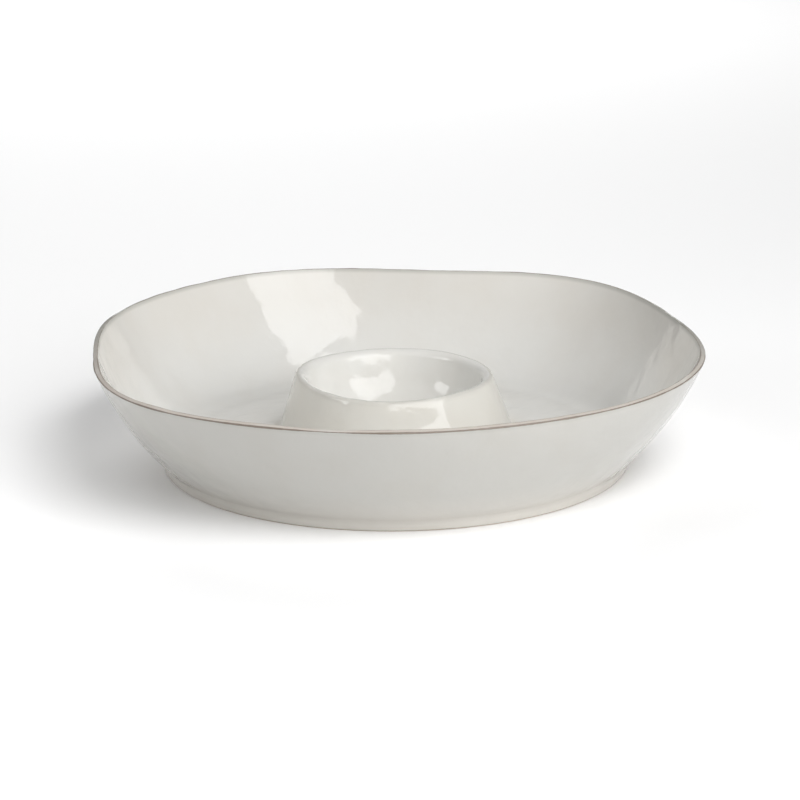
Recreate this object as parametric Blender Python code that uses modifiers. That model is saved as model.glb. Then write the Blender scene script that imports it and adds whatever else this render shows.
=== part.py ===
"""Chip and dip server in glazed stoneware: a wide flared bowl with a dip cup rising from its floor.

Three clay pieces are luted together before firing: the bowl, the dip cup that drops into a
rebated opening in its floor, and the foot ring under it. Each one is a turned section that is
then pushed a little out of round. Metres, +Z up, with the origin on the table under the middle
of the server, whose front faces -Y. Sections are drawn as points (radius, height).
"""

import math

import bpy
from mathutils import Vector

MM = 0.001
JOINT_GAP = 0.3 * MM  # clearance between neighbouring clay pieces
WELD = 0.01 * MM  # points closer than this are one point

# Foot ring
FOOT_RADIUS = 124.6 * MM
FOOT_HEIGHT = 5 * MM
FOOT_WIDTH = 8 * MM
FOOT_TAPER = 0.3 * MM  # how far each side leans in towards the table
FOOT_ROUND = 0.9 * MM

# Bowl
RIM_RADIUS = 165 * MM  # mean radius of the lip's outer edge
RIM_HEIGHT = 65.2 * MM  # mean height of the lip's outer edge
LIP_WIDTH = 3 * MM
WALL_THICKNESS = 5 * MM  # at the foot, thinning towards the lip
WALL_START_SLOPE = 43  # degrees above the table where the wall leaves the foot
FLOOR_TOP = 10.5 * MM
FLOOR_FILLET = 22 * MM
LIP_OUTER_ROUND = 0.6 * MM
LIP_INNER_ROUND = 0.8 * MM

# Dip cup
CREST_RADIUS = 52 * MM
CREST_HEIGHT = 47.6 * MM
CUP_THICKNESS = 5.5 * MM
CREST_OUTER_ROUND = 2 * MM
CREST_INNER_ROUND = 4.5 * MM
CREST_INNER_TURN = 78  # degrees that the lip turns inwards, down to the well's steep wall
WELL_BOTTOM = 12.5 * MM
WELL_ROUND = 28 * MM  # between the well's steep wall and its flat bottom
SKIRT_LEAN = 17  # degrees from upright
SKIRT_FILLET = 10 * MM
GROOVE_ROUND = 2.6 * MM  # the hollow under the cup's lip, between its skirt and its well

# Rebated joint between the bowl's floor and the cup's flange
FLANGE_RADIUS = 74 * MM
FLANGE_THICKNESS = 2.4 * MM
LEDGE_WIDTH = 11 * MM

# How far each edge strays from round and level: (lobes, height of a lobe, degrees to its crest)
RIM_LOBES = (
    (1, 1.5 * MM, -121),
    (2, 1.5 * MM, 45),
    (3, 1.5 * MM, 16),
    (4, 4.0 * MM, -175),
    (5, 1.7 * MM, -96),
    (6, 1.7 * MM, -78),
    (7, 1.1 * MM, 42),
)
RIM_LIFTS = ((1, 2.0 * MM, 125),)
CREST_LOBES = (
    (1, 1.9 * MM, 147),
    (2, 1.2 * MM, -151),
    (3, 1.0 * MM, 34),
    (4, 0.7 * MM, -61),
)
CREST_LIFTS = ((2, 0.3 * MM, 60),)
WALL_GROWTH = 1.4  # power by which the wandering grows from the foot up to the lip

BOWL_STEPS = 72
CUP_STEPS = 56

GLAZE_COLOUR = (0.80, 0.79, 0.75, 1.0)
GLAZE_ROUGHNESS = 0.12
CLAY_COLOUR = (0.62, 0.50, 0.38, 1.0)
CLAY_ROUGHNESS = 0.7


def clear_scene():
    for obj in list(bpy.data.objects):
        bpy.data.objects.remove(obj, do_unlink=True)


def make_collection(name):
    collection = bpy.data.collections.new(name)
    bpy.context.scene.collection.children.link(collection)
    return collection


def make_material(name, colour, roughness):
    material = bpy.data.materials.new(name)
    material.use_nodes = True
    shader = material.node_tree.nodes["Principled BSDF"]
    shader.inputs["Base Color"].default_value = colour
    shader.inputs["Roughness"].default_value = roughness
    shader.inputs["Metallic"].default_value = 0.0
    return material


def polar(degrees, radius=1.0):
    angle = math.radians(degrees)
    return Vector((math.cos(angle), math.sin(angle))) * radius


def arc(centre, radius, start, end, count):
    """count points on a circle from start to end degrees, both ends included."""
    step = (end - start) / (count - 1)
    return [centre + polar(start + step * i, radius) for i in range(count)]


def degrees_of(vector):
    return math.degrees(math.atan2(vector.y, vector.x))


def rising_arc(foot, lip):
    """(centre, radius, degrees at the foot, degrees at the lip) of a wall that starts at its slope."""
    chord = lip - foot
    half_turn = degrees_of(chord) - WALL_START_SLOPE
    radius = chord.length / (2 * math.sin(math.radians(half_turn)))
    at_foot = WALL_START_SLOPE - 90
    return foot - polar(at_foot, radius), radius, at_foot, at_foot + 2 * half_turn


def wall_outside():
    return rising_arc(Vector((FOOT_RADIUS, FOOT_HEIGHT)), Vector((RIM_RADIUS, RIM_HEIGHT)))


def wall_inside():
    centre, radius, at_foot, at_lip = wall_outside()
    foot = centre + polar(at_foot, radius - WALL_THICKNESS)
    return rising_arc(foot, centre + polar(at_lip, radius - LIP_WIDTH))


def bowl_section():
    """The lip, down the outside, in under the floor, up the rebate, over the floor and up inside."""
    centre, radius, _, at_lip = wall_outside()
    lip_slope = at_lip + 90
    outer_corner = centre + polar(at_lip, radius) - (polar(at_lip) + polar(lip_slope)) * LIP_OUTER_ROUND
    below_outer_round = at_lip - math.degrees(LIP_OUTER_ROUND / radius)

    underside = FOOT_HEIGHT + JOINT_GAP
    at_underside = -math.degrees(math.asin((centre.y - underside) / radius))
    opening = FLANGE_RADIUS + JOINT_GAP
    ledge = FLOOR_TOP - FLANGE_THICKNESS - JOINT_GAP
    rebate = [
        Vector((opening - LEDGE_WIDTH, underside)),
        Vector((opening - LEDGE_WIDTH, ledge)),
        Vector((opening, ledge)),
        Vector((opening, FLOOR_TOP)),
    ]

    inner_centre, inner_radius, _, inner_at_lip = wall_inside()
    drop = inner_centre.y - FLOOR_TOP - FLOOR_FILLET
    reach = inner_radius - FLOOR_FILLET
    run = math.sqrt(reach * reach - drop * drop)
    fillet_centre = inner_centre + Vector((run, -drop))
    at_fillet = degrees_of(fillet_centre - inner_centre)
    inner_edge = centre + polar(at_lip, radius - LIP_WIDTH)
    inner_corner = inner_edge + (polar(at_lip) - polar(lip_slope)) * LIP_INNER_ROUND
    below_inner_round = inner_at_lip - math.degrees(LIP_INNER_ROUND / inner_radius)

    return [
        *arc(outer_corner, LIP_OUTER_ROUND, lip_slope, at_lip, 3)[:-1],
        *arc(centre, radius, below_outer_round, at_underside, 10),
        *rebate,
        *arc(fillet_centre, FLOOR_FILLET, -90, at_fillet, 5)[:-1],
        *arc(inner_centre, inner_radius, at_fillet, below_inner_round, 8),
        *arc(inner_corner, LIP_INNER_ROUND, at_lip + 180, lip_slope, 3)[1:],
    ]


def foot_section():
    """The seat under the bowl, down the outside to a narrow flat on the table, and up inside."""
    inner_radius = FOOT_RADIUS - FOOT_WIDTH
    outer_corner = Vector((FOOT_RADIUS - FOOT_TAPER - FOOT_ROUND, FOOT_ROUND))
    inner_corner = Vector((inner_radius + FOOT_TAPER + FOOT_ROUND, FOOT_ROUND))
    return [
        Vector((FOOT_RADIUS, FOOT_HEIGHT)),
        *arc(outer_corner, FOOT_ROUND, 0, -90, 4),
        *arc(inner_corner, FOOT_ROUND, -90, -180, 4),
        Vector((inner_radius, FOOT_HEIGHT)),
    ]


def cup_section():
    """From the axis across the well, over the lip, down the skirt, round the flange and back below."""
    outward = polar(SKIRT_LEAN)
    down_skirt = polar(SKIRT_LEAN - 90)
    outer_lip = Vector((CREST_RADIUS, CREST_HEIGHT - CREST_OUTER_ROUND))
    inner_lip = Vector((CREST_RADIUS, CREST_HEIGHT - CREST_INNER_ROUND))
    lip_end = inner_lip + polar(90 + CREST_INNER_TURN, CREST_INNER_ROUND)

    down_wall = polar(180 + CREST_INNER_TURN)
    wall_foot = WELL_BOTTOM + WELL_ROUND * (1 + down_wall.x)
    wall_end = lip_end + down_wall * ((lip_end.y - wall_foot) / -down_wall.y)
    well_centre = wall_end + polar(90 + CREST_INNER_TURN, WELL_ROUND)
    under_well = WELL_ROUND + CUP_THICKNESS

    skirt_top = outer_lip + outward * CREST_OUTER_ROUND
    skirt_run = (skirt_top.y - FLOOR_TOP - SKIRT_FILLET * (1 - outward.y)) / -down_skirt.y
    fillet_centre = skirt_top + down_skirt * skirt_run + outward * SKIRT_FILLET

    base = FLOOR_TOP - FLANGE_THICKNESS
    behind_skirt = skirt_top - outward * CUP_THICKNESS
    skirt_base = behind_skirt + down_skirt * ((behind_skirt.y - base) / -down_skirt.y)
    # The hollow's round touches the skirt's back and the well's underside.
    start = behind_skirt - outward * GROOVE_ROUND - well_centre
    reach = under_well + GROOVE_ROUND
    lean = start.dot(down_skirt)
    run = math.sqrt(lean * lean - start.length_squared + reach * reach) - lean
    groove_centre = well_centre + start + down_skirt * run
    to_groove = degrees_of(groove_centre - well_centre)

    return [
        Vector((0, WELL_BOTTOM)),
        *arc(well_centre, WELL_ROUND, -90, CREST_INNER_TURN - 90, 8),
        *arc(inner_lip, CREST_INNER_ROUND, 90 + CREST_INNER_TURN, 90, 5)[:-1],
        *arc(outer_lip, CREST_OUTER_ROUND, 90, SKIRT_LEAN, 4),
        *arc(fillet_centre, SKIRT_FILLET, 180 + SKIRT_LEAN, 270, 5),
        Vector((FLANGE_RADIUS, FLOOR_TOP)),
        Vector((FLANGE_RADIUS, base)),
        skirt_base,
        *arc(groove_centre, GROOVE_ROUND, SKIRT_LEAN, 180 + to_groove, 4),
        *arc(well_centre, under_well, to_groove, -90, 7)[1:],
        Vector((0, WELL_BOTTOM - CUP_THICKNESS)),
    ]


def turn(name, section, steps, closed):
    """The mesh that the section sweeps in one full turn about Z."""
    count = len(section)
    edges = [(i, i + 1) for i in range(count - 1)]
    if closed:
        edges.append((count - 1, 0))
    outline = bpy.data.meshes.new(name + "_section")
    outline.from_pydata([(p.x, 0.0, p.y) for p in section], edges, [])
    guide = bpy.data.objects.new(name + "_section", outline)
    bpy.context.scene.collection.objects.link(guide)
    screw = guide.modifiers.new("turn", "SCREW")
    screw.steps = steps
    screw.render_steps = steps
    screw.use_merge_vertices = True
    screw.merge_threshold = WELD
    bpy.context.view_layer.update()
    graph = bpy.context.evaluated_depsgraph_get()
    mesh = bpy.data.meshes.new_from_object(guide.evaluated_get(graph))
    bpy.data.objects.remove(guide, do_unlink=True)
    mesh.name = name
    mesh.shade_smooth()
    mesh.set_sharp_from_angle(angle=math.radians(40))
    return mesh


def wander(waves, angle):
    return sum(height * math.cos(count * angle - math.radians(crest)) for count, height, crest in waves)


def bowl_growth(radius, height):
    """0 up to the foot and over the floor, rising to 1 along the wall to the lip."""
    centre, _, at_foot, at_lip = wall_outside()
    share = (degrees_of(Vector((radius, height)) - centre) - at_foot) / (at_lip - at_foot)
    return min(max(share, 0.0), 1.0) ** WALL_GROWTH


def cup_growth(radius, height):
    """0 on the axis and at the floor, rising to 1 at the cup's crest."""
    share = (height - FLOOR_TOP) / (CREST_HEIGHT - FLOOR_TOP)
    return min(max(share, 0.0), 1.0) ** WALL_GROWTH * radius / CREST_RADIUS


def push_out_of_round(mesh, growth, lobes, lifts):
    for vertex in mesh.vertices:
        x, y, z = vertex.co
        radius = math.hypot(x, y)
        angle = math.atan2(y, x)
        share = growth(radius, z)
        new_radius = radius + share * wander(lobes, angle)
        new_height = z + share * wander(lifts, angle)
        vertex.co = (new_radius * math.cos(angle), new_radius * math.sin(angle), new_height)


def middle_of(mesh):
    xs = [vertex.co.x for vertex in mesh.vertices]
    ys = [vertex.co.y for vertex in mesh.vertices]
    return Vector(((min(xs) + max(xs)) / 2, (min(ys) + max(ys)) / 2, 0.0))


def add_piece(mesh, material, location, collection):
    mesh.materials.append(material)
    piece = bpy.data.objects.new(mesh.name, mesh)
    piece.location = location
    collection.objects.link(piece)


def build():
    clear_scene()
    server = make_collection("chip_and_dip_server")
    bowl = turn("bowl", bowl_section(), BOWL_STEPS, closed=True)
    cup = turn("dip_cup", cup_section(), CUP_STEPS, closed=False)
    foot = turn("foot_ring", foot_section(), BOWL_STEPS, closed=True)
    push_out_of_round(bowl, bowl_growth, RIM_LOBES, RIM_LIFTS)
    push_out_of_round(cup, cup_growth, CREST_LOBES, CREST_LIFTS)

    location = -middle_of(bowl)
    add_piece(bowl, make_material("bowl_glaze", GLAZE_COLOUR, GLAZE_ROUGHNESS), location, server)
    add_piece(cup, make_material("cup_glaze", GLAZE_COLOUR, GLAZE_ROUGHNESS), location, server)
    add_piece(foot, make_material("foot_clay", CLAY_COLOUR, CLAY_ROUGHNESS), location, server)


build()
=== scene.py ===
"""Looks of the chip and dip server: a fine glazed skin for each clay piece, built around the frame.

The skins follow the same turned sections and the same wandering edges as the solids that they
stand for, with the soft creases, the hand-worked swell and the rubbed lip that the solids leave
out. Lengths are metres, and angles are degrees unless they are called radians. Sections are drawn
as points (radius, height).
"""

import math

import bpy
from mathutils import Matrix, Vector, noise


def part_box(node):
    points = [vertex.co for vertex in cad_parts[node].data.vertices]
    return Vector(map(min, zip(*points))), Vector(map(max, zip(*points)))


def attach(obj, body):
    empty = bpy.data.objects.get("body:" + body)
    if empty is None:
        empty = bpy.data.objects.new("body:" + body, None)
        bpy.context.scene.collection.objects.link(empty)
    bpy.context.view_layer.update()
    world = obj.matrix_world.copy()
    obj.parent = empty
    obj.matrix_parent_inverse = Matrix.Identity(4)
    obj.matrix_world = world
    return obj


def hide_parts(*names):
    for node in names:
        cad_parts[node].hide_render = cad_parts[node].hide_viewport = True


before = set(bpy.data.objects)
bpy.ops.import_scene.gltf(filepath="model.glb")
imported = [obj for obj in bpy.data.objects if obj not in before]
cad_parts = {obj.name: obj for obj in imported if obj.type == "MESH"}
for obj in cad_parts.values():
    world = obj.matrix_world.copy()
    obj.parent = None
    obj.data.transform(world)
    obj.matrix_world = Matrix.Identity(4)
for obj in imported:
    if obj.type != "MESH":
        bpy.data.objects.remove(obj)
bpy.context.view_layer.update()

MM = 0.001

# The frame's own sizes
foot_low, foot_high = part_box("foot_ring")
flange_low, flange_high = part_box("dip_cup")
FOOT_CENTRE = Vector(((foot_low.x + foot_high.x) / 2, (foot_low.y + foot_high.y) / 2, 0.0))
FOOT_RADIUS = (foot_high.x - foot_low.x) / 2
FOOT_HEIGHT = foot_high.z
FLANGE_RADIUS = (flange_high.x - flange_low.x) / 2  # the flange is the cup's widest part

# Sizes that the skins share with the solids
RIM_RADIUS = 165 * MM
RIM_HEIGHT = 65.2 * MM
LIP_WIDTH = 3 * MM
WALL_THICKNESS = 5 * MM
WALL_START_SLOPE = 43
JOINT_GAP = 0.3 * MM
FLOOR_TOP = 10.5 * MM
FLOOR_FILLET = 22 * MM
FLOOR_UNDER = FOOT_HEIGHT + JOINT_GAP
FOOT_WIDTH = 8 * MM
CREST_RADIUS = 52 * MM
CREST_HEIGHT = 47.6 * MM
CREST_OUTER_ROUND = 2 * MM
CREST_INNER_ROUND = 4.5 * MM
CREST_INNER_TURN = 78
CUP_THICKNESS = 5.5 * MM
WELL_BOTTOM = 12.5 * MM
WELL_ROUND = 28 * MM
SKIRT_LEAN = 17
SKIRT_FILLET = 10 * MM
GROOVE_ROUND = 2.6 * MM
FLANGE_THICKNESS = 2.4 * MM
FLANGE_BASE = FLOOR_TOP - FLANGE_THICKNESS
WALL_GROWTH = 1.4  # the power by which the wandering grows up a wall

# Waves that take an edge out of round and off level: (how many to a turn, height, where one crests)
RIM_LOBES = (
    (1, 1.5 * MM, -121),
    (2, 1.5 * MM, 45),
    (3, 1.5 * MM, 16),
    (4, 4.0 * MM, -175),
    (5, 1.7 * MM, -96),
    (6, 1.7 * MM, -78),
    (7, 1.1 * MM, 42),
)
RIM_LIFTS = ((1, 2.0 * MM, 125),)
CREST_LOBES = (
    (1, 1.9 * MM, 147),
    (2, 1.2 * MM, -151),
    (3, 1.0 * MM, 34),
    (4, 0.7 * MM, -61),
)
CREST_LIFTS = ((2, 0.3 * MM, 60),)

# Sizes of the skins alone
INSET_OUT = 0.34 * MM  # keeps the wavy lip inside the faceted solids' box
INSET_DOWN = 0.32 * MM
LIP_OUTER_ROUND = 0.5 * MM
LIP_INNER_ROUND = 0.7 * MM
CREASE_ROUND = 4.5 * MM  # where the wall meets the foot
BASE_ROUND = 1.1 * MM
UNDER_ROUND = 2 * MM
SEAM_RUN = 0.3 * MM  # straight run on each side of a joint, so that the shading agrees
SEGMENTS = 384
WALL_STEP = 1.6 * MM
FINE_STEP = 0.25 * MM
FINE_RUN = 2.5 * MM  # how far the fine rings reach from the lip
SHARP_ANGLE = 45
ON_AXIS = 0.01 * MM  # a section point nearer to the axis than this makes one point, not a ring

# The swell: how uneven a hand-worked glaze lies
SWELL = ((30 * MM, 0.30 * MM), (11 * MM, 0.17 * MM), (7 * MM, 0.09 * MM))  # (width, height)
BOWL_SWELL_FROM = Vector((255.5, 108.5, 59.5))  # where in the noise each swell starts
CUP_SWELL_FROM = Vector((233.6, 99.2, 54.4))
SWELL_START = 8.3 * MM  # there is none up to this height, and all of it from the next
SWELL_FULL = 10.3 * MM
SEAM_FADE = 6 * MM  # the swell dies away to each side of the seam between cup and floor

# Where the glaze changes, and where shade and light are painted into it
CUP_SHADE_DEPTH = 6 * MM  # how far the painted shade round the cup's foot reaches up its skirt
CUP_SHADE_START = 64 * MM  # the painted shade is darkest out to this radius, and ends at the next
CUP_SHADE_END = 84 * MM
WARM_TOP = 24 * MM  # painted bounce light: the outside is lighter and warm at the foot and has lost it at this height
WARM_FADE = 1.3
PALE_TOP = 22 * MM  # the inside is pale up to this height, and cream from the next
CREAM_START = 56 * MM
EDGE_REACH = 1.2 * MM  # how wide the rubbed lines run along the edges of the lip
BREAK_REACH = 4.0 * MM  # how far down from the lip the glaze lies thin and the painted shade on the lip reaches
CREST_EDGE_TURN = 55  # where on its outer round the cup's glaze lies thinnest
CREST_EDGE_REACH = 2.2 * MM
SKIN_MARGIN = 0.3 * MM  # a point this near to a surface of the section counts as on it
BARE_TOP = 0.35 * MM  # the foot has no glaze below this height

# Camera
CAMERA_DISTANCE = 1.8
CAMERA_ELEVATION = 16.1
CAMERA_ROLL = -0.47
CAMERA_LENS = 151.3
SENSOR_WIDTH = 36.0
CAMERA_TARGET = Vector((0.8, 2.0, 33.2)) * MM

# Studio: (name, place, the azimuth it faces, tilt, roll, size, power per square metre, mirrored) of
# each softbox. Only a mirrored one shows in the glaze; the others stand for light off the walls.
SOFTBOXES = (
    ("key_window", (0.528, -1.086, 1.26), 150, 0, -8.4, (1.74, 1.63), 10.6, True),
    ("high_fill", (0.574, -0.819, 1.5), 125, 20, 0, (1.16, 0.7), 16.8, False),
    ("back_fill", (-0.157, 1.793, 1.0), -85, 15, 0, (1.6, 1.0), 14.3, False),
    ("left_fill", (-1.6, 0.0, 0.9), 0, 15, 0, (1.4, 1.4), 3.0, False),
    ("left_window", (-1.545, -0.414, 0.66), 15, 0, 0, (0.62, 0.6), 14.0, True),
    ("front_fill", (1.2, -1.3, 0.35), 133, 0, 0, (1.2, 0.6), 12.0, False),
)
STUDIO_LEVEL = 0.09
FLOOR_SIZE = 16.0
FLOOR_WHITE = (0.93, 0.93, 0.93, 1.0)
FLOOR_ROUGHNESS = 0.9
FLOOR_SPECULAR = 0.1


def polar(degrees, radius=1.0):
    """The vector of that length in the section's plane, turned up from the outward direction."""
    angle = math.radians(degrees)
    return Vector((math.cos(angle), math.sin(angle))) * radius


def degrees_of(vector):
    return math.degrees(math.atan2(vector.y, vector.x))


def arc(centre, radius, start, end, step):
    """Points about a step apart on a circle from start to end degrees, both ends included."""
    count = max(2, math.ceil(abs(math.radians(end - start)) * radius / step))
    turn = (end - start) / count
    return [centre + polar(start + turn * i, radius) for i in range(count + 1)]


def line(start, end, step):
    """Points about a step apart from start to end, both ends included."""
    count = max(1, math.ceil((end - start).length / step))
    return [start.lerp(end, i / count) for i in range(count + 1)]


def rising_arc(foot, lip):
    """(centre, radius, angle at the foot, angle at the lip) of a wall that starts at its slope."""
    chord = lip - foot
    half_turn = degrees_of(chord) - WALL_START_SLOPE
    radius = chord.length / (2 * math.sin(math.radians(half_turn)))
    at_foot = WALL_START_SLOPE - 90
    return foot - polar(at_foot, radius), radius, at_foot, at_foot + 2 * half_turn


OUTSIDE = rising_arc(Vector((FOOT_RADIUS, FOOT_HEIGHT)), Vector((RIM_RADIUS, RIM_HEIGHT)))


def wall_inside():
    """OUTSIDE's four values for the inner face, a wall's thickness in at the foot, a lip's at the lip."""
    centre, radius, at_foot, at_lip = OUTSIDE
    foot = centre + polar(at_foot, radius - WALL_THICKNESS)
    return rising_arc(foot, centre + polar(at_lip, radius - LIP_WIDTH))


def under_cup():
    """(where the skirt's back meets the flange's base, the direction down the skirt)."""
    down = polar(SKIRT_LEAN - 90)
    lip = Vector((CREST_RADIUS, CREST_HEIGHT - CREST_OUTER_ROUND))
    back = lip + polar(SKIRT_LEAN) * (CREST_OUTER_ROUND - CUP_THICKNESS)
    return back + down * ((back.y - FLANGE_BASE) / -down.y), down


def crease():
    """(centre of the round between foot and wall, the angle on the wall's arc where it starts)."""
    centre, radius, _, _ = OUTSIDE
    across = FOOT_RADIUS + CREASE_ROUND - centre.x
    drop = math.sqrt((radius + CREASE_ROUND) ** 2 - across * across)
    round_centre = Vector((FOOT_RADIUS + CREASE_ROUND, centre.y - drop))
    return round_centre, degrees_of(round_centre - centre)


SEAM_HEIGHT = crease()[0].y - SEAM_RUN  # where the bowl's skin ends and the foot's begins


def bowl_runs():
    """The bowl's section as runs of points. Each run has its own end points, so corners stay sharp."""
    centre, radius, _, at_lip = OUTSIDE
    lip_slope = at_lip + 90
    outer_edge = centre + polar(at_lip, radius)
    outer_corner = outer_edge - (polar(at_lip) + polar(lip_slope)) * LIP_OUTER_ROUND
    fine = math.degrees(FINE_RUN / radius)
    start = at_lip - math.degrees(LIP_OUTER_ROUND / radius)
    crease_centre, at_crease = crease()

    inner_centre, inner_radius, _, inner_at_lip = wall_inside()
    drop = inner_centre.y - FLOOR_TOP - FLOOR_FILLET
    reach = inner_radius - FLOOR_FILLET
    fillet_centre = inner_centre + Vector((math.sqrt(reach * reach - drop * drop), -drop))
    at_fillet = degrees_of(fillet_centre - inner_centre)
    inner_edge = centre + polar(at_lip, radius - LIP_WIDTH)
    inner_corner = inner_edge + (polar(at_lip) - polar(lip_slope)) * LIP_INNER_ROUND
    inner_start = inner_at_lip - math.degrees(LIP_INNER_ROUND / inner_radius)

    skirt_base, down_skirt = under_cup()
    hole_depth = FLANGE_BASE - FLOOR_UNDER - UNDER_ROUND
    hole_bend = skirt_base + down_skirt * (hole_depth / -down_skirt.y)
    hole_centre = hole_bend + polar(SKIRT_LEAN, UNDER_ROUND)
    foot_inside = FOOT_RADIUS - FOOT_WIDTH
    under_corner = Vector((foot_inside - UNDER_ROUND, FLOOR_UNDER - UNDER_ROUND))
    under_start = Vector((under_corner.x, FLOOR_UNDER))
    lip_top = line(
        inner_corner + polar(lip_slope, LIP_INNER_ROUND),
        outer_corner + polar(lip_slope, LIP_OUTER_ROUND),
        FINE_STEP,
    )
    outside = (
        arc(outer_corner, LIP_OUTER_ROUND, lip_slope, at_lip, FINE_STEP / 2)
        + arc(centre, radius, start, start - fine, FINE_STEP)[1:]
        + arc(centre, radius, start - fine, at_crease, WALL_STEP)[1:]
        + arc(crease_centre, CREASE_ROUND, 180 + at_crease, 180, FINE_STEP)[1:]
        + [Vector((FOOT_RADIUS, SEAM_HEIGHT))]
    )
    underside = (
        [Vector((foot_inside, SEAM_HEIGHT))]
        + arc(under_corner, UNDER_ROUND, 0, 90, 2 * FINE_STEP)
        + line(under_start, Vector((hole_centre.x, FLOOR_UNDER)), 3 * WALL_STEP)[1:]
        + arc(hole_centre, UNDER_ROUND, 270, 180 + SKIRT_LEAN, 2 * FINE_STEP)[1:]
        + [skirt_base]
    )
    inside = (
        line(Vector((FLANGE_RADIUS, FLOOR_TOP)), Vector((fillet_centre.x, FLOOR_TOP)), WALL_STEP)
        + arc(fillet_centre, FLOOR_FILLET, -90, at_fillet, WALL_STEP)[1:]
        + arc(inner_centre, inner_radius, at_fillet, inner_start - fine, WALL_STEP)[1:]
        + arc(inner_centre, inner_radius, inner_start - fine, inner_start, FINE_STEP)[1:]
        + arc(inner_corner, LIP_INNER_ROUND, at_lip + 180, lip_slope, FINE_STEP / 2)[1:]
        + lip_top[1:-1]
    )
    return outside, underside, [Vector((FLANGE_RADIUS, FLANGE_BASE))], inside


def foot_runs():
    """The foot ring's section: down its outside, across the face that it stands on, and up inside."""
    foot_inside = FOOT_RADIUS - FOOT_WIDTH
    outer_corner = Vector((FOOT_RADIUS - BASE_ROUND, BASE_ROUND))
    inner_corner = Vector((foot_inside + BASE_ROUND, BASE_ROUND))
    outside = [
        Vector((FOOT_RADIUS, SEAM_HEIGHT)),
        Vector((FOOT_RADIUS, SEAM_HEIGHT - SEAM_RUN)),
        *arc(outer_corner, BASE_ROUND, 0, -90, FINE_STEP),
    ]
    inside = [
        *arc(inner_corner, BASE_ROUND, -90, -180, FINE_STEP),
        Vector((foot_inside, SEAM_HEIGHT - SEAM_RUN)),
        Vector((foot_inside, SEAM_HEIGHT)),
    ]
    flat = line(outside[-1], inside[0], 2 * FINE_STEP)[1:-1]
    return (outside + flat + inside,)


def cup_runs():
    """The cup's section from the middle of the well, over the lip, and back underneath."""
    outward = polar(SKIRT_LEAN)
    outer_lip = Vector((CREST_RADIUS, CREST_HEIGHT - CREST_OUTER_ROUND))
    inner_lip = Vector((CREST_RADIUS, CREST_HEIGHT - CREST_INNER_ROUND))
    lip_end = inner_lip + polar(90 + CREST_INNER_TURN, CREST_INNER_ROUND)
    down_wall = polar(180 + CREST_INNER_TURN)
    wall_foot = WELL_BOTTOM + WELL_ROUND * (1 + down_wall.x)
    wall_end = lip_end + down_wall * ((lip_end.y - wall_foot) / -down_wall.y)
    well_centre = wall_end + polar(90 + CREST_INNER_TURN, WELL_ROUND)
    under_well = WELL_ROUND + CUP_THICKNESS

    skirt_base, down_skirt = under_cup()
    skirt_top = outer_lip + outward * CREST_OUTER_ROUND
    skirt_run = (skirt_top.y - FLOOR_TOP - SKIRT_FILLET * (1 - outward.y)) / -down_skirt.y
    skirt_end = skirt_top + down_skirt * skirt_run
    fillet_centre = skirt_end + outward * SKIRT_FILLET

    start = skirt_top - outward * (CUP_THICKNESS + GROOVE_ROUND) - well_centre
    reach = under_well + GROOVE_ROUND
    lean = start.dot(down_skirt)
    run = math.sqrt(lean * lean - start.length_squared + reach * reach) - lean
    groove_centre = well_centre + start + down_skirt * run
    to_groove = degrees_of(groove_centre - well_centre)

    under_floor = WELL_BOTTOM - CUP_THICKNESS
    flange_edge = Vector((FLANGE_RADIUS, FLOOR_TOP))
    outside = (
        line(Vector((0, WELL_BOTTOM)), Vector((well_centre.x, WELL_BOTTOM)), 2 * WALL_STEP)
        + arc(well_centre, WELL_ROUND, -90, CREST_INNER_TURN - 90, WALL_STEP)[1:]
        + line(wall_end, lip_end, WALL_STEP)[1:]
        + arc(inner_lip, CREST_INNER_ROUND, 90 + CREST_INNER_TURN, 90, 2 * FINE_STEP)[1:]
        + arc(outer_lip, CREST_OUTER_ROUND, 90, SKIRT_LEAN, FINE_STEP)[1:]
        + line(skirt_top, skirt_end, WALL_STEP)[1:]
        + arc(fillet_centre, SKIRT_FILLET, 180 + SKIRT_LEAN, 270, WALL_STEP / 2)[1:]
        + line(Vector((fillet_centre.x, FLOOR_TOP)), flange_edge, WALL_STEP)[1:]
    )
    underside = (
        [skirt_base]
        + line(skirt_base, groove_centre + outward * GROOVE_ROUND, WALL_STEP)[1:]
        + arc(groove_centre, GROOVE_ROUND, SKIRT_LEAN, 180 + to_groove, 2 * FINE_STEP)[1:]
        + arc(well_centre, under_well, to_groove, -90, WALL_STEP)[1:]
        + line(Vector((well_centre.x, under_floor)), Vector((0, under_floor)), 2 * WALL_STEP)[1:]
    )
    return outside, [Vector((FLANGE_RADIUS, FLANGE_BASE))], underside


def clamp(share):
    return min(max(share, 0.0), 1.0)


def rise(value, low, high):
    """0 up to low and 1 from high, with a smooth step between."""
    share = clamp((value - low) / (high - low))
    return share * share * (3.0 - 2.0 * share)


def wander(waves, angle):
    """How far the waves take an edge out, or up, at an angle in radians."""
    return sum(height * math.cos(count * angle - math.radians(crest)) for count, height, crest in waves)


def bowl_growth(point):
    """0 up to the foot and over the floor, rising to 1 along the wall to the lip."""
    centre, _, at_foot, at_lip = OUTSIDE
    return clamp((degrees_of(point - centre) - at_foot) / (at_lip - at_foot)) ** WALL_GROWTH


def cup_growth(point):
    """0 on the axis and at the floor, rising to 1 at the cup's crest."""
    share = (point.y - FLOOR_TOP) / (CREST_HEIGHT - FLOOR_TOP)
    return clamp(share) ** WALL_GROWTH * point.x / CREST_RADIUS


def no_growth(point):
    return 0.0


def normals_of(run):
    """The direction out of the clay at each point of a run, or none where a point is alone."""
    if len(run) == 1:
        return [Vector((0.0, 0.0))]
    tangents = [run[min(i + 1, len(run) - 1)] - run[max(i - 1, 0)] for i in range(len(run))]
    return [Vector((-t.y, t.x)).normalized() for t in tangents]


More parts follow.
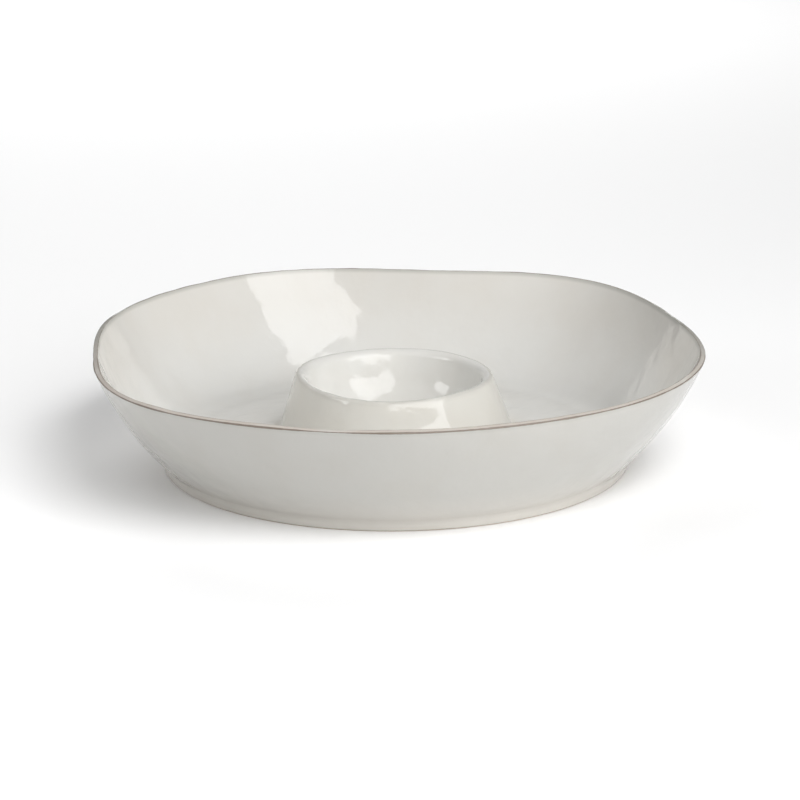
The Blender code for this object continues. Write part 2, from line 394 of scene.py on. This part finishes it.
def swell_of(place, swell_from):
    """Height of the hand-worked unevenness at a place, 0 on the foot, underside and cup's seam."""
    share = clamp((place.z - SWELL_START) / (SWELL_FULL - SWELL_START))
    from_seam = abs((place - FOOT_CENTRE).to_2d().length - FLANGE_RADIUS)
    share *= rise(from_seam, 0.0, SEAM_FADE)
    return share * sum(height * noise.noise(place / width + swell_from) for width, height in SWELL)


def skin(name, runs, growth, lobes, lifts, swell_from, closed):
    """The mesh that the runs sweep about the foot's axis, pushed out of round and swollen by hand."""
    section = [pair for run in runs for pair in zip(run, normals_of(run))]
    rings, points = [], []
    for point, normal in section:
        if point.x < ON_AXIS:
            rings.append([len(points)] * SEGMENTS)
            points.append(FOOT_CENTRE + Vector((0.0, 0.0, point.y)))
            continue
        share = growth(point)
        rings.append(range(len(points), len(points) + SEGMENTS))
        for i in range(SEGMENTS):
            angle = math.tau * i / SEGMENTS
            round_radius = point.x + share * (wander(lobes, angle) - INSET_OUT)
            height = point.y + share * (wander(lifts, angle) - INSET_DOWN)
            around = Vector((math.cos(angle), math.sin(angle), 0.0))
            place = FOOT_CENTRE + around * round_radius + Vector((0.0, 0.0, height))
            out = around * normal.x + Vector((0.0, 0.0, normal.y))
            points.append(place + out * swell_of(place, swell_from))
    faces = []
    pairs = list(zip(rings, rings[1:]))
    if closed:
        pairs.append((rings[-1], rings[0]))
    for upper, lower in pairs:
        for i in range(SEGMENTS):
            j = (i + 1) % SEGMENTS
            corners = [upper[i], lower[i], lower[j], upper[j]]
            faces.append(list(dict.fromkeys(corners)))  # three corners where a ring is one point
    mesh = bpy.data.meshes.new(name)
    mesh.from_pydata(points, [], faces)
    mesh.validate()
    mesh.shade_smooth()
    mesh.set_sharp_from_angle(angle=math.radians(SHARP_ANGLE))
    piece = bpy.data.objects.new(name, mesh)
    bpy.context.scene.collection.objects.link(piece)
    return piece, section


def mark(piece, section, name, value_at):
    """Stores a number for each section point on all of its ring, for the glaze to read."""
    values = []
    for point, _ in section:
        values += [value_at(point)] * (1 if point.x < ON_AXIS else SEGMENTS)
    attribute = piece.data.attributes.new(name, "FLOAT", "POINT")
    attribute.data.foreach_set("value", values)


def nearness(spot, reach):
    """A value_at for mark(): 1 on a spot of the section, falling to 0 at the reach."""
    return lambda point: max(0.0, 1.0 - (point - spot).length / reach)


def cup_foot_shade(point):
    """Painted shade where the cup meets the floor: 1 round the cup's foot, falling softly up the skirt
    and outwards over the floor.
    """
    up = rise(point.y, FLOOR_TOP, FLOOR_TOP + CUP_SHADE_DEPTH)
    return (1.0 - up) * (1.0 - rise(point.x, CUP_SHADE_START, CUP_SHADE_END))


def floor_bounce_light(point):
    """Painted bounce light off the floor: 1 at the foot, falling to 0 at WARM_TOP up the outside of the
    wall.
    """
    return (1.0 - clamp((point.y - FOOT_HEIGHT) / (WARM_TOP - FOOT_HEIGHT))) ** WARM_FADE


def high_wall(point):
    """0 low on the wall, rising softly to 1 towards the lip."""
    return rise(point.y, PALE_TOP, CREAM_START)


class Nodes:
    """Short ways to add and link shader nodes."""

    def __init__(self, name):
        self.material = bpy.data.materials.new(name)
        self.material.use_nodes = True
        self.tree = self.material.node_tree
        self.shader = self.tree.nodes["Principled BSDF"]

    def add(self, kind, settings=None, **inputs):
        node = self.tree.nodes.new(kind)
        for key, value in (settings or {}).items():
            setattr(node, key, value)
        for key, value in inputs.items():
            self.put(node, key.replace("_", " "), value)
        return node

    def put(self, node, key, value):
        socket = node.inputs[key]
        if isinstance(value, bpy.types.NodeSocket):
            self.tree.links.new(value, socket)
        else:
            socket.default_value = value

    def noise(self, width, detail):
        node = self.add("ShaderNodeTexNoise", Vector=self.place(), Scale=1 / width, Detail=detail)
        return node.outputs["Fac"]

    def place(self):
        return self.add("ShaderNodeTexCoord").outputs["Object"]

    def attribute(self, name):
        return self.add("ShaderNodeAttribute", {"attribute_name": name}).outputs["Fac"]

    def math(self, operation, a, b):
        node = self.add("ShaderNodeMath", {"operation": operation})
        self.put(node, 0, a)
        self.put(node, 1, b)
        return node.outputs[0]

    def plus(self, a, b):
        return self.math("ADD", a, b)

    def minus(self, a, b):
        return self.math("SUBTRACT", a, b)

    def times(self, a, b):
        return self.math("MULTIPLY", a, b)

    def ramp(self, value, low, high):
        """0 below low and 1 above high, with a smooth step between."""
        node = self.add("ShaderNodeMapRange", {"interpolation_type": "SMOOTHSTEP"}, Value=value)
        self.put(node, "From Min", low)
        self.put(node, "From Max", high)
        return node.outputs["Result"]

    def mix(self, share, a, b):
        """Colour a where the share is 0 and b where it is 1, by the Mix node's colour sockets."""
        node = self.add("ShaderNodeMix", {"data_type": "RGBA"})
        self.put(node, 0, share)
        self.put(node, 6, a)
        self.put(node, 7, b)
        return node.outputs[2]

    def bump(self, height, distance, below=None):
        node = self.add("ShaderNodeBump", Height=height, Distance=distance)
        if below is not None:
            self.tree.links.new(below, node.inputs["Normal"])
        return node.outputs["Normal"]

    def finish(self, colour, normal, roughness):
        self.put(self.shader, "Base Color", colour)
        self.put(self.shader, "Roughness", roughness)
        self.put(self.shader, "IOR", GLAZE_IOR)
        self.put(self.shader, "Normal", normal)
        return self.material


# Colours of the glaze, and of the clay where it shows, as linear red, green, blue and alpha
GLAZE_CREAM = (0.615, 0.600, 0.566, 1.0)
GLAZE_PALE = (0.645, 0.640, 0.616, 1.0)
# painted shade round the cup's foot, where the cup meets the floor
GLAZE_CUP_FOOT_SHADE = (0.585, 0.565, 0.520, 1.0)
# the outside is darker than the inside by painted shade
GLAZE_OUTSIDE_SHADED = (0.495, 0.487, 0.460, 1.0)
GLAZE_CUP = (0.62, 0.606, 0.564, 1.0)
GLAZE_WELL = (0.657, 0.651, 0.623, 1.0)
# glaze breaking thin over an edge; on the bowl's lip it is also painted shade
GLAZE_BROKEN_AND_SHADE = (0.36, 0.355, 0.325, 1.0)
# painted bounce light off the floor: lighter and warmer on the foot and low on the wall
GLAZE_BOUNCE_LIT = (0.575, 0.553, 0.512, 1.0)
CLAY_BROWN = (0.15, 0.118, 0.092, 1.0)
CLAY_PINK = (0.46, 0.385, 0.33, 1.0)
CLAY_BARE = (0.52, 0.42, 0.31, 1.0)
CLAY_DARK = (0.36, 0.27, 0.19, 1.0)
THIN_GLAZE = (0.985, 0.978, 0.970, 1.0)  # how much of its colour a thin glaze keeps
GLAZE_ROUGHNESS = 0.045
GLAZE_IOR = 1.5
CLAY_ROUGHNESS = 0.75

# Noises are (width, detail). Ramps are (where they start, where they are full).
MOTTLE = (30 * MM, 3.0)
MOTTLE_RAMP = (0.40, 0.68)
RIPPLE = (5 * MM, 1.5)
RIPPLE_HEIGHT = 0.12 * MM
DIMPLES = (1.8 * MM, 1.0)
DIMPLE_HEIGHT = 0.004 * MM
CREST_PATCHES = (16 * MM, 2.0)
CREST_PATCH_RAMP = (0.25, 0.6)
CREST_BREAKING = 0.3
CLAY_GRAIN = (0.7 * MM, 4.0)
CLAY_GRAIN_RAMP = (0.35, 0.7)
CLAY_GRAIN_HEIGHT = 0.12 * MM

# Wear of the lip, and painted shade over it. A front value is added on the front of the bowl, and fades
# out towards its back.
BACK_RAMP = (-60 * MM, 20 * MM)  # along Y
# the darkening over the lip is partly glaze breaking thin and partly painted shade, strongest at the back
# of the bowl
BREAKING_AND_SHADE_RAMP = (0.1, 0.75)
BREAKING_AND_SHADE = 0.8
BREAKING_AND_SHADE_FRONT = -0.55
WEAR_PATCHES = (22 * MM, 3.0)
WEAR_SPECKS = (3 * MM, 2.0)
PATCH_WEAR = 0.4
SPECK_WEAR = 0.3
FRONT_WEAR = 0.24
OUTER_LINE_RAMP = (0.93, 1.23)
OUTER_LINE = 0.85
INNER_LINE_RAMP = (0.90, 1.20)
INNER_LINE = 0.55
PINK_RAMP = (0.15, 0.55)
PINK = 0.12
PINK_FRONT = 0.38


def mottled(nodes, colour):
    """The glaze's colour, a little greyer in soft patches where it lies thinner."""
    patches = nodes.ramp(nodes.noise(*MOTTLE), *MOTTLE_RAMP)
    thin = tuple(part * share for part, share in zip(colour, THIN_GLAZE))
    return nodes.mix(patches, colour, thin)


def glaze_normal(nodes):
    """The normal of a hand-worked glaze: a ripple, with fine dimples over it."""
    ripple = nodes.bump(nodes.noise(*RIPPLE), RIPPLE_HEIGHT)
    return nodes.bump(nodes.noise(*DIMPLES), DIMPLE_HEIGHT, below=ripple)


def with_cup_foot_shade(nodes, colour):
    """The colour, darker round the cup's foot with painted shade where the cup meets the floor."""
    return nodes.mix(nodes.attribute("cup_foot_shade"), colour, mottled(nodes, GLAZE_CUP_FOOT_SHADE))


def bounce_lit_foot_glaze(name):
    """The foot's outside: a plain, warm glaze, lighter than the wall's by painted bounce light off the
    floor.
    """
    nodes = Nodes(name)
    return nodes.finish(mottled(nodes, GLAZE_BOUNCE_LIT), glaze_normal(nodes), GLAZE_ROUGHNESS)


def cup_glaze(name):
    """The cup's glaze, paler in the well, and greyer where it breaks over the edge of the lip."""
    nodes = Nodes(name)
    patchy = nodes.ramp(nodes.noise(*CREST_PATCHES), *CREST_PATCH_RAMP)
    edge = nodes.times(nodes.attribute("crest_edge"), nodes.times(patchy, CREST_BREAKING))
    colour = nodes.mix(nodes.attribute("well"), mottled(nodes, GLAZE_CUP), mottled(nodes, GLAZE_WELL))
    colour = nodes.mix(edge, colour, GLAZE_BROKEN_AND_SHADE)
    return nodes.finish(with_cup_foot_shade(nodes, colour), glaze_normal(nodes), GLAZE_ROUGHNESS)


def inside_colour(nodes):
    """Pale low down and cream towards the lip, with painted shade round the cup's foot."""
    pale = mottled(nodes, GLAZE_PALE)
    cream = mottled(nodes, GLAZE_CREAM)
    return with_cup_foot_shade(nodes, nodes.mix(nodes.attribute("high_wall"), pale, cream))


def shaded_outside_colour(nodes):
    """Cool and darkened with painted shade, and lighter and warm low down over the foot with painted
    bounce light off the floor.
    """
    return nodes.mix(nodes.attribute("floor_bounce_light"), mottled(nodes, GLAZE_OUTSIDE_SHADED), GLAZE_BOUNCE_LIT)


def rubbed_line(nodes, edge, wear, ramp, strength):
    """How far the clay shows through along an edge of the lip."""
    return nodes.times(nodes.ramp(nodes.plus(nodes.attribute(edge), wear), *ramp), strength)


def rubbed_glaze(name):
    """The bowl's glaze with a brown line rubbed through it along each edge of the lip. Its outside
    carries painted shade and painted bounce light, and its lip painted shade where the glaze breaks thin.
    """
    nodes = Nodes(name)
    colour = nodes.mix(nodes.attribute("outside"), inside_colour(nodes), shaded_outside_colour(nodes))
    along = nodes.add("ShaderNodeSeparateXYZ", Vector=nodes.place()).outputs["Y"]
    front = nodes.minus(1.0, nodes.ramp(along, *BACK_RAMP))

    # glaze breaking thin over the lip, with painted shade that is darker at the back than at the front
    breaking_and_shade = nodes.ramp(nodes.attribute("breaking_and_shade"), *BREAKING_AND_SHADE_RAMP)
    breaking_and_shade = nodes.times(breaking_and_shade, nodes.plus(BREAKING_AND_SHADE, nodes.times(front, BREAKING_AND_SHADE_FRONT)))
    colour = nodes.mix(breaking_and_shade, colour, GLAZE_BROKEN_AND_SHADE)

    patches = nodes.noise(*WEAR_PATCHES)
    thin = nodes.times(nodes.ramp(patches, *PINK_RAMP), nodes.attribute("lip_band"))
    pink = nodes.plus(nodes.times(front, PINK_FRONT), PINK)
    colour = nodes.mix(nodes.times(thin, pink), colour, CLAY_PINK)

    specks = nodes.noise(*WEAR_SPECKS)
    wear = nodes.plus(nodes.times(patches, PATCH_WEAR), nodes.times(specks, SPECK_WEAR))
    wear = nodes.plus(wear, nodes.times(front, FRONT_WEAR))
    outer_line = rubbed_line(nodes, "outer_edge", wear, OUTER_LINE_RAMP, OUTER_LINE)
    inner_line = rubbed_line(nodes, "inner_edge", wear, INNER_LINE_RAMP, INNER_LINE)
    colour = nodes.mix(nodes.math("MAXIMUM", outer_line, inner_line), colour, CLAY_BROWN)
    return nodes.finish(colour, glaze_normal(nodes), GLAZE_ROUGHNESS)


def bare_clay(name):
    """The grainy, unglazed clay that the foot stands on."""
    nodes = Nodes(name)
    grain = nodes.noise(*CLAY_GRAIN)
    colour = nodes.mix(nodes.ramp(grain, *CLAY_GRAIN_RAMP), CLAY_BARE, CLAY_DARK)
    return nodes.finish(colour, nodes.bump(grain, CLAY_GRAIN_HEIGHT), CLAY_ROUGHNESS)


def make_bowl():
    shape = (bowl_runs(), bowl_growth, RIM_LOBES, RIM_LIFTS, BOWL_SWELL_FROM)
    piece, section = skin("bowl_skin", *shape, closed=True)
    centre, radius, _, at_lip = OUTSIDE
    outer_edge = centre + polar(at_lip, radius)
    lip_middle = centre + polar(at_lip, radius - LIP_WIDTH / 2)
    inner_edge = centre + polar(at_lip, radius - LIP_WIDTH)
    up_wall = polar(at_lip + 90)
    near_top = outer_edge.dot(up_wall) - SKIN_MARGIN
    near_outside = radius - SKIN_MARGIN
    mark(piece, section, "outer_edge", nearness(outer_edge, EDGE_REACH))
    mark(piece, section, "inner_edge", nearness(inner_edge, EDGE_REACH))
    # glaze breaking thin over the lip, and painted shade on it
    mark(piece, section, "breaking_and_shade", nearness(lip_middle, BREAK_REACH))
    mark(piece, section, "lip_band", lambda point: float(point.dot(up_wall) > near_top))
    mark(piece, section, "outside", lambda point: float((point - centre).length > near_outside))
    # painted shade round the cup's foot
    mark(piece, section, "cup_foot_shade", cup_foot_shade)
    # painted bounce light low on the outside
    mark(piece, section, "floor_bounce_light", floor_bounce_light)
    mark(piece, section, "high_wall", high_wall)
    piece.data.materials.append(rubbed_glaze("rubbed_white_glaze"))
    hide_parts("bowl")
    return piece


def make_cup():
    shape = (cup_runs(), cup_growth, CREST_LOBES, CREST_LIFTS, CUP_SWELL_FROM)
    piece, section = skin("dip_cup_skin", *shape, closed=False)
    # painted shade round the cup's foot
    mark(piece, section, "cup_foot_shade", lambda point: cup_foot_shade(point) * (point.x > CREST_RADIUS))
    mark(piece, section, "well", lambda point: float(point.x < CREST_RADIUS))
    round_centre = Vector((CREST_RADIUS, CREST_HEIGHT - CREST_OUTER_ROUND))
    crest_edge = round_centre + polar(CREST_EDGE_TURN, CREST_OUTER_ROUND)
    mark(piece, section, "crest_edge", nearness(crest_edge, CREST_EDGE_REACH))
    piece.data.materials.append(cup_glaze("white_glaze"))
    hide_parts("dip_cup")
    return piece


def make_foot():
    piece, _ = skin("foot_skin", foot_runs(), no_growth, (), (), BOWL_SWELL_FROM, closed=True)
    # the foot's glaze carries painted bounce light off the floor
    piece.data.materials.append(bounce_lit_foot_glaze("bounce_lit_foot_glaze"))
    piece.data.materials.append(bare_clay("bare_clay"))
    for face in piece.data.polygons:
        if face.center.z < BARE_TOP:
            face.material_index = 1
    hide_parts("foot_ring")
    return piece


def make_floor():
    bpy.ops.mesh.primitive_plane_add(size=FLOOR_SIZE)
    floor = bpy.context.object
    floor.name = "floor"
    nodes = Nodes("pale_floor")
    nodes.put(nodes.shader, "Base Color", FLOOR_WHITE)
    nodes.put(nodes.shader, "Roughness", FLOOR_ROUGHNESS)
    nodes.put(nodes.shader, "Specular IOR Level", FLOOR_SPECULAR)
    floor.data.materials.append(nodes.material)


def looking(place, direction, roll):
    """The matrix of a lamp or camera at a place that looks along a direction, rolled by degrees."""
    turn = direction.to_track_quat("-Z", "Y").to_matrix().to_4x4()
    return Matrix.Translation(place) @ turn @ Matrix.Rotation(math.radians(roll), 4, "Z")


def add_softbox(name, place, azimuth, tilt, roll, size, power, mirrored):
    """A rectangular lamp that faces an azimuth, turned down by tilt and rolled, in degrees."""
    light = bpy.data.lights.new(name, "AREA")
    light.shape = "RECTANGLE"
    light.size, light.size_y = size
    light.energy = power * size[0] * size[1]
    lamp = bpy.data.objects.new(name, light)
    level = polar(azimuth).to_3d() * math.cos(math.radians(tilt))
    aim = level - Vector((0.0, 0.0, math.sin(math.radians(tilt))))
    lamp.matrix_world = looking(place, aim, roll)
    lamp.visible_glossy = mirrored
    bpy.context.scene.collection.objects.link(lamp)


def make_world():
    world = bpy.data.worlds.new("studio")
    world.use_nodes = True
    background = world.node_tree.nodes["Background"]
    background.inputs["Color"].default_value = (1.0, 1.0, 1.0, 1.0)
    background.inputs["Strength"].default_value = STUDIO_LEVEL
    bpy.context.scene.world = world


def make_camera():
    elevation = math.radians(CAMERA_ELEVATION)
    offset = Vector((0.0, -math.cos(elevation), math.sin(elevation))) * CAMERA_DISTANCE
    optics = bpy.data.cameras.new("camera")
    optics.lens = CAMERA_LENS
    optics.sensor_width = SENSOR_WIDTH
    camera = bpy.data.objects.new("camera", optics)
    camera.matrix_world = looking(CAMERA_TARGET + offset, -offset, CAMERA_ROLL)
    bpy.context.scene.collection.objects.link(camera)
    bpy.context.scene.camera = camera


for make in (make_bowl, make_cup, make_foot):
    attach(make(), "root")
make_floor()
make_camera()
make_world()
for softbox in SOFTBOXES:
    add_softbox(*softbox)
bpy.context.scene.view_settings.view_transform = "Standard"
